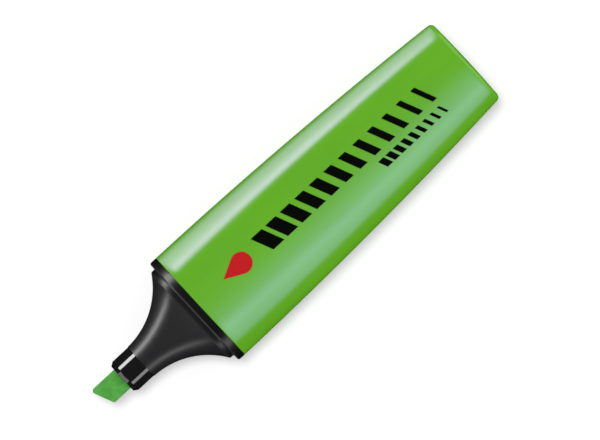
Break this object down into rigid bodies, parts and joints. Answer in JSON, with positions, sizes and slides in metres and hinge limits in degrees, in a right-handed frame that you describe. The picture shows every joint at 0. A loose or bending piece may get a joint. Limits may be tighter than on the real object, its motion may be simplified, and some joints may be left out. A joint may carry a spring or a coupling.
{
  "type": "highlighter pen",
  "caption": "Flat-bodied chisel-tip highlighter with a tapering green barrel, black funnel nose, slanted felt nib and a black pull-off cap.",
  "frame": {"origin": "centre of the barrel's flat back, midway along the barrel, on the surface that the pen lies on", "axes": "+X along the pen's axis towards the nib, +Y across its broad width, +Z out of its front face"},
  "size_m": [0.162, 0.027, 0.017],
  "materials": {
    "barrel_plastic": "glossy opaque moulded plastic, fluorescent green",
    "nose_plastic": "satin black moulded plastic with a polished collar",
    "nib_felt": "dense bonded fibre soaked with green ink",
    "ink_fibre": "ink-soaked fibre wadding",
    "wrap_film": "thin clear film sleeve",
    "cap_plastic": "glossy black moulded plastic",
    "liner_plastic": "satin black moulded plastic",
    "black_print": "glossy black pad-printed ink",
    "red_print": "glossy red pad-printed ink"
  },
  "bodies": {
    "pen": {"barrel": "barrel_plastic", "nose": "nose_plastic", "nib": "nib_felt", "ink_core": "ink_fibre", "ink_film": "wrap_film", "wide_line_print": "black_print", "thin_line_print": "black_print", "drop_print": "red_print"},
    "cap": {"cap_shell": "cap_plastic", "cap_liner": "liner_plastic"}
  },
  "joints": [
    {"name": "cap_slide", "type": "slide", "parent": "pen", "child": "cap", "axis": [-1, 0, 0], "range_m": [0, 0.056]}
  ]
}
